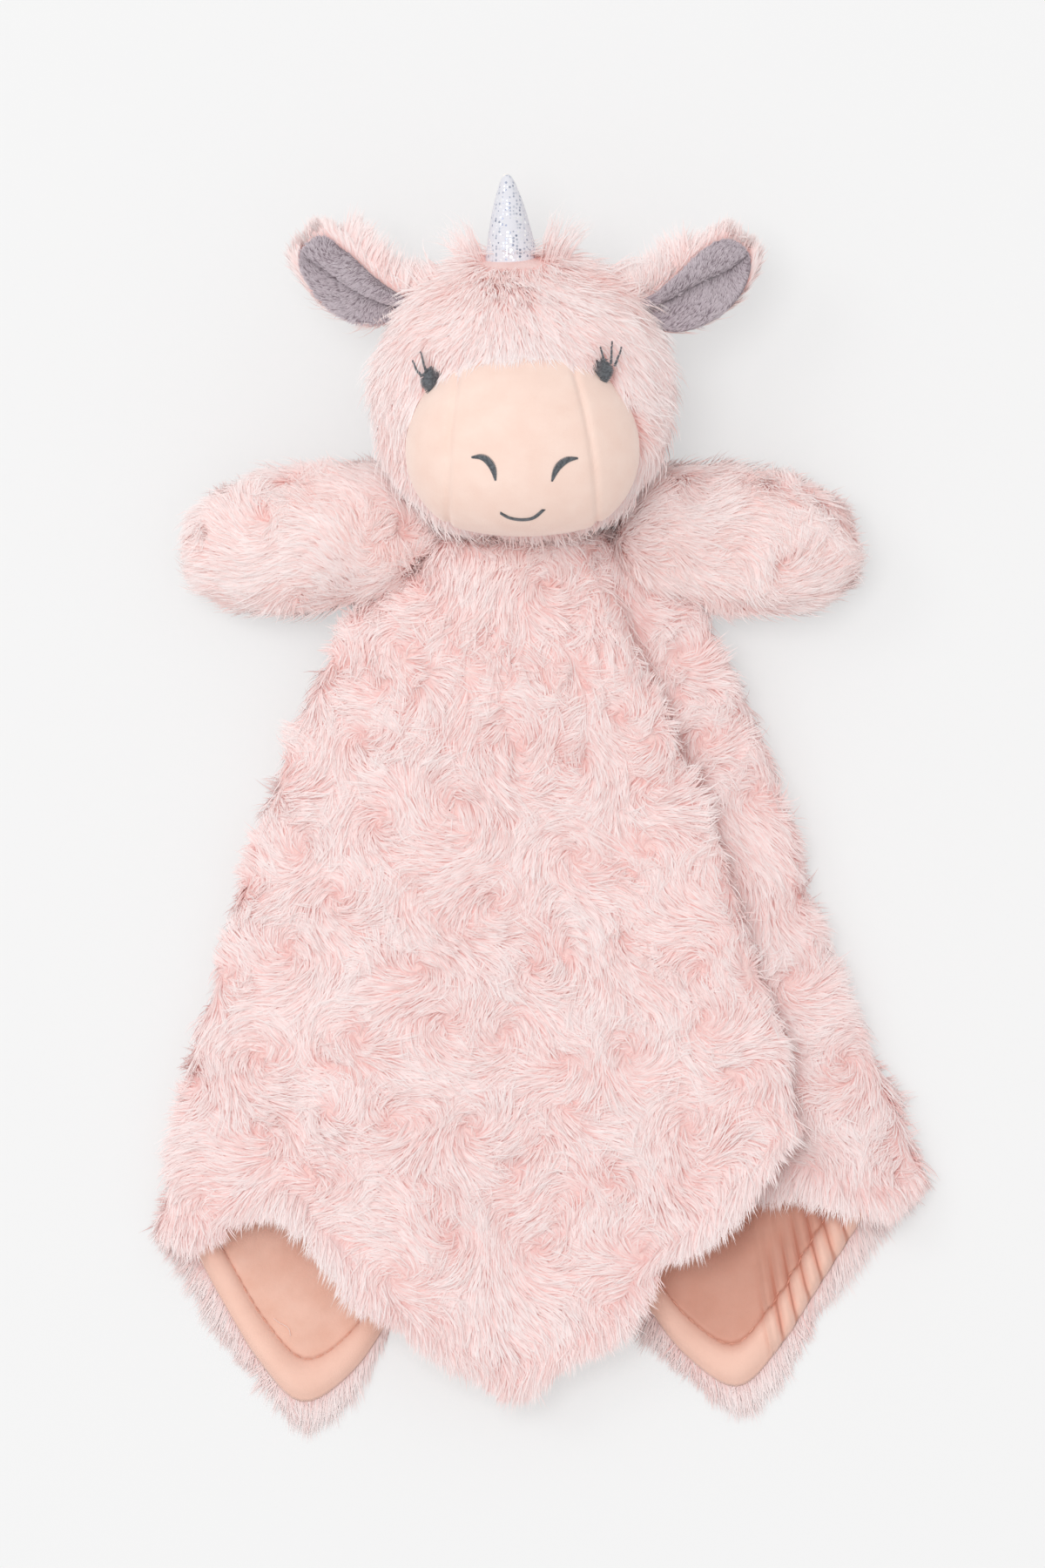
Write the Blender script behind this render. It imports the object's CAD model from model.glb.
# %% [markdown]
# # Dressing a comfort blanket with a plush unicorn's head
#
# The toy is a square of long pink fur lined with peach velour, gathered under a stuffed head.
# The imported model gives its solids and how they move. Each cell here makes one visible piece
# over them: a skin, its fur, a seam or a stitch. Lengths are metres, +Y points to the horn and
# +Z the way the face looks, because the toy lies on its back.

import math

import bmesh
import bpy
import numpy as np
from mathutils import Matrix, Vector
from mathutils.bvhtree import BVHTree
from mathutils.kdtree import KDTree


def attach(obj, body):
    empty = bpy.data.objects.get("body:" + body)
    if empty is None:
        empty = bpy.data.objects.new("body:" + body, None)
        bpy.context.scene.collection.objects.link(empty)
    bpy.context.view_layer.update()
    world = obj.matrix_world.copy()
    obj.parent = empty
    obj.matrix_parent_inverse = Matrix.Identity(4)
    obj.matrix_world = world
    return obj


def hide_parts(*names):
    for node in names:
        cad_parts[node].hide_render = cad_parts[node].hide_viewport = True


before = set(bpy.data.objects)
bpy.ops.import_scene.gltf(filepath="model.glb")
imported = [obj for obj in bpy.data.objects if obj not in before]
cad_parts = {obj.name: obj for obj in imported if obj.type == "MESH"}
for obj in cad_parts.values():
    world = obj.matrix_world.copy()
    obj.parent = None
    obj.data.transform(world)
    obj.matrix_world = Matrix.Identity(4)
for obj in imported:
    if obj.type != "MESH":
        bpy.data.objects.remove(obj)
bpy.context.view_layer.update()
MM = 0.001

# %% [markdown]
# ## Camera
#
# The photograph looks straight down from far off, so the camera hangs 3 m up behind a long
# lens. One photo pixel is 0.25 mm at the toy's middle level. `spot` turns a pixel and a height
# into a place, which lets a high piece, such as the muzzle, cover the pixels that it covers in
# the photograph.

# %% Camera and the photo's pixels
PIXEL = 0.25 * MM
MIDDLE_LEVEL = 20 * MM
CAMERA_HEIGHT = 3.0
SENSOR_HEIGHT = 36  # millimetres, as is the lens
IMAGE_MIDDLE = (600, 900)
NECK = Vector((-0.005271, 0.064565, 0.019))  # where the nod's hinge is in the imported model
NECK_ROW = 655
VIEW = Vector((NECK.x, NECK.y - (IMAGE_MIDDLE[1] - NECK_ROW) * PIXEL, 0))


def spot(px, py, z):
    """The place at height z that the camera sees at a pixel of the photograph."""
    spread = PIXEL * (CAMERA_HEIGHT - z) / (CAMERA_HEIGHT - MIDDLE_LEVEL)
    across, down = px - IMAGE_MIDDLE[0], py - IMAGE_MIDDLE[1]
    return Vector((VIEW.x + across * spread, VIEW.y - down * spread, z))


def placed(name, data):
    """A new object in the scene."""
    made = bpy.data.objects.new(name, data)
    bpy.context.scene.collection.objects.link(made)
    return made


lens = bpy.data.cameras.new("camera")
lens.sensor_fit = "VERTICAL"
lens.sensor_height = SENSOR_HEIGHT
lens.lens = SENSOR_HEIGHT * (CAMERA_HEIGHT - MIDDLE_LEVEL) / (2 * IMAGE_MIDDLE[1] * PIXEL)
camera = placed("camera", lens)
camera.location = (VIEW.x, VIEW.y, CAMERA_HEIGHT)
bpy.context.scene.camera = camera
bpy.context.scene.view_settings.view_transform = "Standard"
print("lens", round(lens.lens, 1), "mm")

# %% [markdown]
# ## Materials
#
# A few helpers carry all the finishes: one turns an sRGB hex colour to linear, one starts a
# material, one adds a node with its settings and links, and the others name the nodes that are
# used most. Pile cloths, such as fur and velour, are rough and scatter light at grazing angles,
# which the shader's sheen gives.

# %% Material helpers


def linear(hex_colour):
    """An sRGB hex colour as the shader's linear colour."""
    shares = [int(hex_colour[i : i + 2], 16) / 255 for i in (1, 3, 5)]
    return (*(c / 12.92 if c <= 0.04045 else ((c + 0.055) / 1.055) ** 2.4 for c in shares), 1)


def add_node(tree, kind, settings=(), **inputs):
    """One node, with its settings and its inputs, each a value or another node's socket."""
    made = tree.nodes.new(kind)
    for name, value in dict(settings).items():
        setattr(made, name, value)
    for name, value in inputs.items():
        socket = made.inputs[int(name[1:]) if name[1:].isdigit() else name.replace("_", " ")]
        if isinstance(value, bpy.types.NodeSocket):
            tree.links.new(value, socket)
        else:
            socket.default_value = value
    return made


def material(name, **values):
    """A material with its shader's plain values set, and its node tree."""
    made = bpy.data.materials.new(name)
    made.use_nodes = True
    shader = made.node_tree.nodes["Principled BSDF"]
    for key, value in values.items():
        shader.inputs[key.replace("_", " ")].default_value = value
    return made, made.node_tree, shader


def feed(shader, **sockets):
    """Link sockets to a shader's named inputs."""
    for name, socket in sockets.items():
        shader.id_data.links.new(socket, shader.inputs[name.replace("_", " ")])


def combined(tree, operation, first, second=0.0):
    """Two values combined by one operation of mathematics."""
    settings = {"operation": operation}
    return add_node(tree, "ShaderNodeMath", settings, _0=first, _1=second).outputs["Value"]


def ranged(tree, value, start, end, low, high):
    """A number that goes from low to high while the value goes from start to end."""
    limits = {"From_Min": start, "From_Max": end, "To_Min": low, "To_Max": high}
    return add_node(tree, "ShaderNodeMapRange", Value=value, **limits).outputs["Result"]


def mixed(tree, share, first, second, blend="MIX"):
    """Two colours mixed by a share."""
    settings = {"data_type": "RGBA", "blend_type": blend}
    return add_node(tree, "ShaderNodeMix", settings, _0=share, _6=first, _7=second).outputs[2]


def noise(tree, scale, detail):
    """Noise over the object, with its scale in cycles a metre."""
    place = add_node(tree, "ShaderNodeTexCoord").outputs["Object"]
    made = add_node(tree, "ShaderNodeTexNoise", Vector=place, Scale=scale, Detail=detail)
    return made.outputs["Fac"]


def bump(tree, height, strength, distance):
    """A slope that makes a cloth look raised where the height is."""
    made = add_node(tree, "ShaderNodeBump", Strength=strength, Distance=distance, Height=height)
    return made.outputs["Normal"]


def ramp(tree, factor, stops):
    """A colour ramp with (place, hex colour) stops."""
    made = add_node(tree, "ShaderNodeValToRGB", Fac=factor)
    band = made.color_ramp
    while len(band.elements) < len(stops):
        band.elements.new(0.5)
    for element, (place, shade) in zip(band.elements, stops):
        element.position = place
        element.color = linear(shade)
    return made.outputs["Color"]


def cloth_material(name, mottle, stops, grain, relief, **values):
    """A cloth or thread: mottle and grain are the scale and detail of its colour and bumps."""
    made, tree, shader = material(name, **values)
    colour = ramp(tree, noise(tree, *mottle), stops)
    feed(shader, Base_Color=colour, Normal=bump(tree, noise(tree, *grain), *relief))
    return made


# %% [markdown]
# ## Fur material
#
# Rosette fur is knitted polyester pile, steamed into swirls. Its roots sit in warm shade and its
# tips are almost white. Every hair carries a map: across it is one of sixteen shades, along it
# is the way from root to tip. The colour comes from that map alone, so the hairs of one shade
# share one strip of it.

# %% Fur material
SHADES = 16
HAIR_MAP = "OFBake"
THROUGH = 0.8  # share of the light that passes through a hair seen from below
LOW_SLOPES = (-0.25, 0.15)  # the slopes between which that share fades to nothing


def layered(tree, share, shader, over):
    """Show another shader over a material's own, by a share."""
    both = add_node(tree, "ShaderNodeMixShader", _0=share, _1=shader.outputs["BSDF"], _2=over)
    feed(tree.nodes["Material Output"], Surface=both.outputs["Shader"])


def pile_material(name, root, middle, tip, dim, roughness):
    """Hairs coloured from root to tip, and dimmer in their first shades."""
    made, tree, shader = material(
        name, Roughness=roughness, Specular_IOR_Level=0.25, Sheen_Weight=0.25, Sheen_Roughness=0.6
    )
    place = add_node(tree, "ShaderNodeUVMap", {"uv_map": HAIR_MAP})
    split = add_node(tree, "ShaderNodeSeparateXYZ", Vector=place.outputs["UV"])
    along = ramp(tree, split.outputs["Y"], ((0.0, root), (0.45, middle), (1.0, tip)))
    shade = ramp(tree, split.outputs["X"], ((0.0, dim), (0.75, "#FFFFFF"), (1.0, "#FFFFFF")))
    colour = mixed(tree, 1.0, along, shade, "MULTIPLY")
    feed(shader, Base_Color=colour)
    # Light from above comes through a hair whose lower side is seen
    seen = add_node(tree, "ShaderNodeNewGeometry").outputs
    height = add_node(tree, "ShaderNodeSeparateXYZ", Vector=seen["Normal"]).outputs["Z"]
    low = ranged(tree, height, *LOW_SLOPES, THROUGH, 0.0)
    share = combined(tree, "MULTIPLY", low, seen["Backfacing"])
    through = add_node(tree, "ShaderNodeBsdfTranslucent", Color=colour).outputs["BSDF"]
    layered(tree, share, shader, through)
    return made


FUR = pile_material("Rosette polyester fur", "#F1D0CD", "#F8E6E4", "#FAF3F2", "#F4DBD8", 0.8)
LONG_FUR = pile_material("Long polyester fur", "#F3D1CD", "#F9E9E7", "#FBF5F4", "#F6DDD9", 0.8)
print("hair shades", SHADES)

# %% [markdown]
# ## Growing the fur
#
# Hair curves can't leave Blender as part of the model, so each hair is a thin strip of three
# faces. One strip is shaped with bmesh and then repeated along thousands of bent paths. Hairs
# near one another are drawn towards a leading hair, as static draws real pile into tufts.

# %% One hair and how it is repeated
HAIR_STEPS = 3
HAIR_WIDTH = 0.4 * MM
TUFT_HAIRS = 14
HAIRS_PER_PIECE = 39000
STRAYS = 0.07  # share of the hairs that stand up out of the tufts and soften the outline
SKIN_LIGHT = 0.7  # a hair is lit as its patch of pile is, by this share
SKY_TURN = 0.6  # round hairs catch the light from above, so the flat strips turn up to it
UNDER_SIDE = -0.15  # a skin that slopes more than this faces the floor, and so do its hairs
LEVEL_TURN = 0.25  # both sides of a strip are lit as if they lay this much flatter
TUFT_REACH = 3 * MM  # how far a leading hair draws its neighbours
TUFT_PULLS = (0, 0.2, 0.6, 1.0)  # at each step from the root, as shares of the whole pull
STEP_WIDTHS = (0.85, 1.0, 0.7, 0.0)  # a strip's widths from root to tip, as shares of the hair's
WIDTH_RANGE = (0.6, 1.2)  # a hair's width and length, as shares of what is asked for
LENGTH_RANGE = (0.72, 1.12)
CURL = 0.3  # how far hairs sway sideways, in radians
ROLL = 0.35  # how far the strips turn on edge, as a share of their width
CENTRE_TRIES = 4000  # the roots among which the whorls' middles are chosen
WHORL_REACH = (0.42, 0.62)  # as shares of the distance between whorls
WHORL_TURN = (0.7, 2.1)  # how strongly a whorl turns the comb


def one_hair():
    """A strip that ends in a point: the side and the step of each corner, and the faces."""
    strip = bmesh.new()
    bmesh.ops.create_grid(strip, x_segments=1, y_segments=HAIR_STEPS, size=0.5)
    tip = [v for v in strip.verts if v.co.y > 0.49]
    bmesh.ops.pointmerge(strip, verts=tip, merge_co=Vector((0, 0.5, 0)))
    strip.verts.index_update()
    sides = np.array([v.co.x * 2 for v in strip.verts])
    steps = np.array([round((v.co.y + 0.5) * HAIR_STEPS) for v in strip.verts])
    faces = [[v.index for v in face.verts] for face in strip.faces]
    strip.free()
    return sides, steps, faces


HAIR_SIDES, HAIR_ROWS, HAIR_FACES = one_hair()


def unit(rows):
    """The same directions, each with a length of one."""
    return rows / np.maximum(np.linalg.norm(rows, axis=-1, keepdims=True), 1e-9)


def comb_paths(roots, normals, combs, lengths, lifts, rng, tuft, stray):
    """Where each hair goes: up from its root, then over along the comb, drawn into tufts."""
    count = len(roots)
    aside = np.cross(combs, normals)
    curl = rng.normal(0, CURL, count)
    path = [roots]
    for step in range(HAIR_STEPS):
        share = (step + 0.5) / HAIR_STEPS
        angle = (lifts * (1.15 - 0.95 * share))[:, None]
        sway = (curl * share)[:, None]
        flat = combs * np.cos(sway) + aside * np.sin(sway)
        way = normals * np.sin(angle) + flat * np.cos(angle)
        path.append(path[-1] + way * (lengths / HAIR_STEPS)[:, None])
    path = np.stack(path, axis=1)
    leaders = rng.choice(np.nonzero(~stray)[0], max(1, count // TUFT_HAIRS), replace=False)
    tree = KDTree(len(leaders))
    for number, leader in enumerate(leaders):
        tree.insert(roots[leader], number)
    tree.balance()
    found = [tree.find(root) for root in roots]
    lead = leaders[[hit[1] for hit in found]]
    near = np.clip(1.6 - np.array([hit[2] for hit in found]) / TUFT_REACH, 0, 1) * tuft
    near[stray] *= 0.3
    pull = np.array(TUFT_PULLS)[None, :, None] * near[:, None, None]
    return path + (path[lead] - path) * pull


def for_every(count, step, numbers):
    """One hair's numbers, repeated for every hair and a step further on in each."""
    return (np.arange(count)[:, None] * step + numbers[None, :]).astype(np.int32).ravel()


def hair_mesh(name, path, normals, shades, rng, width):
    """Thousands of strips along their paths, in one mesh with its root-to-tip map."""
    count = len(path)
    turned = np.where(normals[:, 2:] > UNDER_SIDE, SKY_TURN, 0.0) * np.array([[0, 0, 1.0]])
    normals = unit(normals + turned)
    along = unit(np.gradient(path, axis=1))
    roll = rng.normal(0, ROLL, count)[:, None, None]
    across = unit(np.cross(along, normals[:, None, :]))
    across = unit(across + normals[:, None, :] * roll)
    widths = (width * rng.uniform(*WIDTH_RANGE, count))[:, None, None]
    widths = np.array(STEP_WIDTHS)[None, :, None] * widths
    corners = path[:, HAIR_ROWS] + (across * widths / 2)[:, HAIR_ROWS] * HAIR_SIDES[None, :, None]
    # No hair goes into the floor: the lowest ones lie on it in a loose heap
    ground = (0.2 + 1.6 * rng.random(count))[:, None] * MM
    fallen = (corners[..., 2] - path[:, :1, 2]).clip(-1 * MM, 0)
    corners[..., 2] = np.maximum(corners[..., 2], ground + 0.3 * fallen)
    mesh = bpy.data.meshes.new(name)
    sizes = np.array([len(face) for face in HAIR_FACES])
    loops = np.concatenate(HAIR_FACES)
    starts = np.concatenate([[0], np.cumsum(sizes)[:-1]])
    mesh.vertices.add(count * len(HAIR_ROWS))
    mesh.vertices.foreach_set("co", corners.astype(np.float32).ravel())
    mesh.loops.add(count * len(loops))
    mesh.loops.foreach_set("vertex_index", for_every(count, len(HAIR_ROWS), loops))
    mesh.polygons.add(count * len(sizes))
    mesh.polygons.foreach_set("loop_start", for_every(count, len(loops), starts))
    u = (shades[:, None] + 0.5 + 0.35 * HAIR_SIDES[loops][None, :]) / SHADES
    v = np.broadcast_to(HAIR_ROWS[loops][None, :] / HAIR_STEPS, u.shape)
    layer = mesh.uv_layers.new(name=HAIR_MAP)
    layer.data.foreach_set("uv", np.stack([u, v * 0.96 + 0.02], axis=-1).astype(np.float32).ravel())
    mesh.update(calc_edges=True)
    mesh.shade_smooth()
    # The normals are a mix of the skin's and the strip's own, turned up for both sides
    own = np.cross(across, along)
    lit = unit(normals[:, None, :] * SKIN_LIGHT + own * (1 - SKIN_LIGHT))
    lit[..., 2] = (np.abs(lit[..., 2]) + LEVEL_TURN) * np.where(own[..., 2] < 0, -1, 1)
    lit = unit(lit)
    mesh.normals_split_custom_set_from_vertices(lit[:, HAIR_ROWS].reshape(-1, 3))
    return mesh


def show(name, mesh, body, finish):
    """A finished mesh in the scene, riding on its body."""
    made = placed(name, mesh)
    if not mesh.materials:
        mesh.materials.append(finish)
    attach(made, body)
    return made


def triples(items, key, kind=float):
    """A property of every item, as rows of three numbers."""
    values = np.empty(len(items) * 3, dtype=kind)
    items.foreach_get(key, values)
    return values.reshape(-1, 3)


def scatter(skin, count, rng):
    """Even random roots on a mesh, with the skin's normals."""
    skin.calc_loop_triangles()
    corners = triples(skin.vertices, "co")
    slopes = triples(skin.vertices, "normal")
    triangles = triples(skin.loop_triangles, "vertices", np.int32)
    a, b, c = (corners[triangles[:, i]] for i in range(3))
    areas = np.linalg.norm(np.cross(b - a, c - a), axis=1)
    picked = rng.choice(len(triangles), count, p=areas / areas.sum())
    first, second = rng.random(count), rng.random(count)
    over = first + second > 1
    first[over], second[over] = 1 - first[over], 1 - second[over]
    weights = np.stack([1 - first - second, first, second], axis=1)
    roots = np.einsum("ni,nij->nj", weights, corners[triangles[picked]])
    normals = unit(np.einsum("ni,nij->nj", weights, slopes[triangles[picked]]))
    return roots, normals


def level_with(normals, lines):
    """Lines with the part that stands off their skin taken out."""
    return lines - normals * np.sum(lines * normals, axis=1, keepdims=True)


def swirl(roots, normals, centres, turns, reaches, lead):
    """The comb's direction: roses that wind in to their centres, over a general direction."""
    total = lead.copy()
    pit = np.full(len(roots), 9.0)
    # On a steep side the pile hangs instead
    level = np.clip(np.abs(normals[:, 2:]) * 2.2 - 0.4, 0, 1)
    for centre, turn, reach in zip(centres, turns, reaches):
        away = level_with(normals, roots - centre)
        far = np.linalg.norm(away, axis=1, keepdims=True)
        out = away / np.maximum(far, 1e-6)
        round_it = np.cross(normals, out) * np.sign(turn)
        share = far / reach
        wind_in = np.clip(0.35 - 0.5 * share, -0.15, 0.35)
        weight = np.exp(-(share**4)) * abs(turn) * level
        total += (round_it - out * wind_in) * weight
        pit = np.minimum(pit, share[:, 0])
    return unit(level_with(normals, total)), pit


def spaced(roots, gap, rng):
    """Some of the roots, about the gap apart, as the whorls' middles."""
    kept = []
    for number in rng.permutation(len(roots))[:CENTRE_TRIES]:
        root = roots[number]
        apart = gap * rng.uniform(0.7, 1.3)
        if all(np.linalg.norm(root - other) > apart for other in kept):
            kept.append(root)
    return np.array(kept)


def fur(
    name, body, skin, finish, count, length, lift, whorl, lead_of, seed,
    keep=None, tuft=0.55, width=HAIR_WIDTH, shape=None,
):
    """Grow one patch of fur on a skin, in as many pieces as its hairs need.

    Each hair is about as long as length and stands off the skin by lift, in radians. Whorls are
    about whorl apart, or there are none at 0, and lead_of gives the comb's general direction.
    keep picks the roots that stay, and shape may move the finished paths.
    """
    rng = np.random.default_rng(seed)
    roots, normals = scatter(skin, count, rng)
    if keep is not None:
        kept = keep(roots, normals, rng)
        roots, normals = roots[kept], normals[kept]
    centres = spaced(roots, whorl, rng) if whorl else np.empty((0, 3))
    turns = rng.choice([-1, 1], len(centres)) * rng.uniform(*WHORL_TURN, len(centres))
    reaches = whorl * rng.uniform(*WHORL_REACH, len(centres))
    combs, pit = swirl(roots, normals, centres, turns, reaches, lead_of(roots, normals))
    combs = unit(combs + 0.16 * rng.normal(size=combs.shape))
    combs = unit(level_with(normals, combs))
    # The pile is shortest in the middle of a whorl
    shorter = np.clip(0.7 + 0.4 * pit, 0.7, 1.05)
    lengths = length * rng.uniform(*LENGTH_RANGE, len(roots)) * shorter
    waves = roots @ rng.normal(0, 260, (3, 5)) + rng.uniform(0, math.tau, 5)
    sway = np.sin(waves).sum(axis=1) * 0.08
    lifts = np.clip(rng.normal(lift, 0.1, len(roots)) + sway, 0.03, 1.5)
    stray = rng.random(len(roots)) < STRAYS
    lifts[stray] += 0.45
    lengths[stray] *= 1.12
    path = comb_paths(roots, normals, combs, lengths, lifts, rng, tuft, stray)
    if shape is not None:
        path = shape(path)
    shades = np.clip(rng.normal(6 + 6 * np.clip(pit, 0, 1), 3), 0, SHADES - 1).astype(int)
    made = []
    for number, start in enumerate(range(0, len(roots), HAIRS_PER_PIECE)):
        part = slice(start, start + HAIRS_PER_PIECE)
        piece_name = f"{name}_{number + 1}"
        mesh = hair_mesh(piece_name, path[part], normals[part], shades[part], rng, width)
        made.append(show(piece_name, mesh, body, finish))
    print(name, len(roots), "hairs,", len(centres), "whorls,", len(made), "pieces")
    return made


# %% [markdown]
# ## Light, floor and background
#
# Soft light falls from above, and a little more of it from the left. Two big area lamps and a
# white world give it. Together they are set so that a colour renders about as it is written.
# The floor is plain white card.

# %% Light and floor
FLOOR_REACH = 3.0
CARD_GLOW = 0.5  # share of the card's own light in what the camera sees of it
SKY_STRENGTH = 0.68


def mesh_of(form, name):
    """A finished bmesh as a smooth mesh."""
    made = bpy.data.meshes.new(name)
    form.to_mesh(made)
    form.free()
    made.shade_smooth()
    return made


card, card_tree, card_shader = material(
    "White card", Roughness=0.9, Specular_IOR_Level=0.1, Base_Color=linear("#F2F2F2")
)
# Seen by the camera, the card glows a little, as overexposed white does: its shadows are paler,
# and no light is added to the toy
glow = add_node(card_tree, "ShaderNodeEmission", Color=linear("#F5F5F5")).outputs["Emission"]
camera_ray = add_node(card_tree, "ShaderNodeLightPath").outputs["Is Camera Ray"]
layered(card_tree, combined(card_tree, "MULTIPLY", camera_ray, CARD_GLOW), card_shader, glow)
floor_form = bmesh.new()
bmesh.ops.create_grid(floor_form, x_segments=1, y_segments=1, size=FLOOR_REACH)
floor_mesh = mesh_of(floor_form, "floor")
floor_mesh.materials.append(card)
floor = placed("floor", floor_mesh)

for name, place, size, watts in (
    ("side_softbox", Vector((-3.3, 1.9, 4.0)), 2.2, 30),
    ("top_softbox", Vector((-0.7, 0.5, 4.0)), 1.8, 52),
):
    lamp = bpy.data.lights.new(name, "AREA")
    lamp.shape = "DISK"
    lamp.size = size
    lamp.energy = watts
    softbox = placed(name, lamp)
    softbox.location = place
    softbox.rotation_euler = (VIEW - place).to_track_quat("-Z", "Y").to_euler()
    print(name, watts, "W")

world = bpy.data.worlds.new("white_room")
world.use_nodes = True
bpy.context.scene.world = world
sky = world.node_tree.nodes["Background"]
sky.inputs["Color"].default_value = linear("#FFFFFF")
sky.inputs["Strength"].default_value = SKY_STRENGTH

# %% [markdown]
# ## Stuffed forms
#
# A stuffed piece starts as a coarse sphere whose rings are drawn in or filled out. Subdivision
# rounds it, and it is then fitted to its exact size. The solids of the model were made the same
# way, so the skin sits just under the fur's surface.

# %% A stuffed form
ALONG, UP = Vector((0, 1, 0)), Vector((0, 0, 1))


def settled(form, name, verts=None):
    """A bmesh as a mesh with its faces in one order: some operators give another in each run."""
    verts = verts or list(form.verts)
    ranks = {vert: number for number, vert in enumerate(verts)}
    faces = [[ranks[vert] for vert in face.verts] for face in form.faces]
    faces = sorted(face[face.index(min(face)) :] + face[: face.index(min(face))] for face in faces)
    made = bpy.data.meshes.new(name)
    made.from_pydata([vert.co[:] for vert in verts], [], faces)
    form.free()
    return made


def smooth_mesh(cage, name, levels):
    """The cage's mesh after subdivision, with its modifier applied."""
    reach = max(vert.co.length for vert in cage.verts)
    verts = sorted(cage.verts, key=lambda vert: [round(c / reach, 3) for c in vert.co])
    coarse = settled(cage, name, verts)
    holder = placed(name, coarse)
    soft = holder.modifiers.new("Soft", "SUBSURF")
    soft.levels = levels
    bpy.context.view_layer.update()
    finished = holder.evaluated_get(bpy.context.evaluated_depsgraph_get())
    made = bpy.data.meshes.new_from_object(finished)
    made.name = name
    bpy.data.objects.remove(holder)
    bpy.data.meshes.remove(coarse)
    return made


def tree_of(mesh):
    """A mesh's faces, ready for finding places on it."""
    corners = [v.co for v in mesh.vertices]
    return BVHTree.FromPolygons(corners, [tuple(p.vertices) for p in mesh.polygons])


def facing(long_line, deep_line):
    """The turn that sends a form's length along one line and its depth along another."""
    long_line = long_line.normalized()
    wide_line = deep_line.cross(long_line).normalized()
    return Matrix((wide_line, long_line.cross(wide_line), long_line)).transposed()


def stuffed(name, centre, size, turn, rings, sides, levels):
    """A closed soft form: size is across, deep and long."""
    cage = bmesh.new()
    bmesh.ops.create_uvsphere(cage, u_segments=sides, v_segments=len(rings) + 1, radius=1)
    for vert in cage.verts:
        ring = round(math.acos(max(-1, min(1, -vert.co.z))) / math.pi * (len(rings) + 1))
        if 0 < ring <= len(rings):
            vert.co.xy *= rings[ring - 1]
    mesh = smooth_mesh(cage, name, levels)
    low = [min(v.co[i] for v in mesh.vertices) for i in range(3)]
    high = [max(v.co[i] for v in mesh.vertices) for i in range(3)]
    for vert in mesh.vertices:
        shares = [(vert.co[i] - low[i]) / (high[i] - low[i]) - 0.5 for i in range(3)]
        vert.co = turn @ Vector(share * size[i] for i, share in enumerate(shares)) + centre
    mesh.shade_smooth()
    return mesh


HEAD_CENTRE = NECK + Vector((0, 50 * MM, 17.5 * MM))
HEAD_SIZE = Vector((85 * MM, 74 * MM, 84 * MM))
FUR_DEPTH = 2.2 * MM  # from the solids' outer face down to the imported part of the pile
HEAD_RINGS = (1.05, 1.03, 1.0, 1.0, 1.0)

# %% [markdown]
# ## Backing cloth
#
# Under the pile lies a knitted backing of a deeper pink. It shows only in the partings, so it
# needs colour and a fine knit but no hairs.

# %% Backing material and the head's skin
BACKING = cloth_material(
    "Knitted backing cloth", (180.0, 3.0), ((0.3, "#F2CFCA"), (0.7, "#F8DBD7")), (1400.0, 2.0),
    (0.5, 0.4 * MM), Roughness=0.95, Specular_IOR_Level=0.1,
)
INSET = Vector((FUR_DEPTH, FUR_DEPTH, FUR_DEPTH)) * 2
head_skin = stuffed(
    "head_backing", HEAD_CENTRE, HEAD_SIZE - INSET, facing(ALONG, UP), HEAD_RINGS, 8, 4
)
head = show("head_backing", head_skin, "head", BACKING)
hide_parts("head_face_panel", "head_left_back_panel", "head_right_back_panel")
print("head", len(head_skin.polygons), "faces")

# %% [markdown]
# ## Muzzle
#
# The muzzle is velour over stuffing, sewn from three panels. The seams pull a narrow valley
# into the round form, so they are pressed into the mesh, where the light can find them.

# %% Velour material


def velour_material(name, low, high, grain):
    """Short dense pile: a faint mottling, a fine grain and a strong sheen."""
    return cloth_material(
        name, (130.0, 4.0), ((0.3, low), (0.7, high)), (grain, 3.0), (0.35, 0.25 * MM),
        Roughness=0.8, Specular_IOR_Level=0.2, Sheen_Weight=0.4, Sheen_Roughness=0.45,
    )


PALE_VELOUR = velour_material("Pale peach velour", "#F8D9CB", "#FCE1D4", 2200.0)

# %% Muzzle's form and seams
MUZZLE_CENTRE = Vector((NECK.x, NECK.y + 36.0 * MM, 59 * MM))
MUZZLE_SIZE = Vector((66.4 * MM, 56 * MM, 54.4 * MM))
MUZZLE_RINGS = (1.28, 1.07, 1.0, 0.97, 1.0)
LEFT_SEAM_PX = ((526, 432), (515, 535), (515, 602))
RIGHT_SEAM_PX = ((662, 436), (681, 529), (686, 598))
SEAM_LEVEL = 74 * MM
SEAM_DEPTH = 0.9 * MM
SEAM_WIDTH = 0.9 * MM
PUFF_RISE = 0.35 * MM  # the cloth swells a little on both sides of a seam
PUFF_WIDTH = 5 * MM

muzzle_skin = stuffed(
    "muzzle_velour", MUZZLE_CENTRE, MUZZLE_SIZE, facing(ALONG, UP), MUZZLE_RINGS, 8, 5
)


def seam_curve(pixels):
    """How far across a seam runs, as a parabola of the way along."""
    places = [spot(px, py, SEAM_LEVEL) for px, py in pixels]
    return np.polyfit([p.y for p in places], [p.x for p in places], 2)


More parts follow.
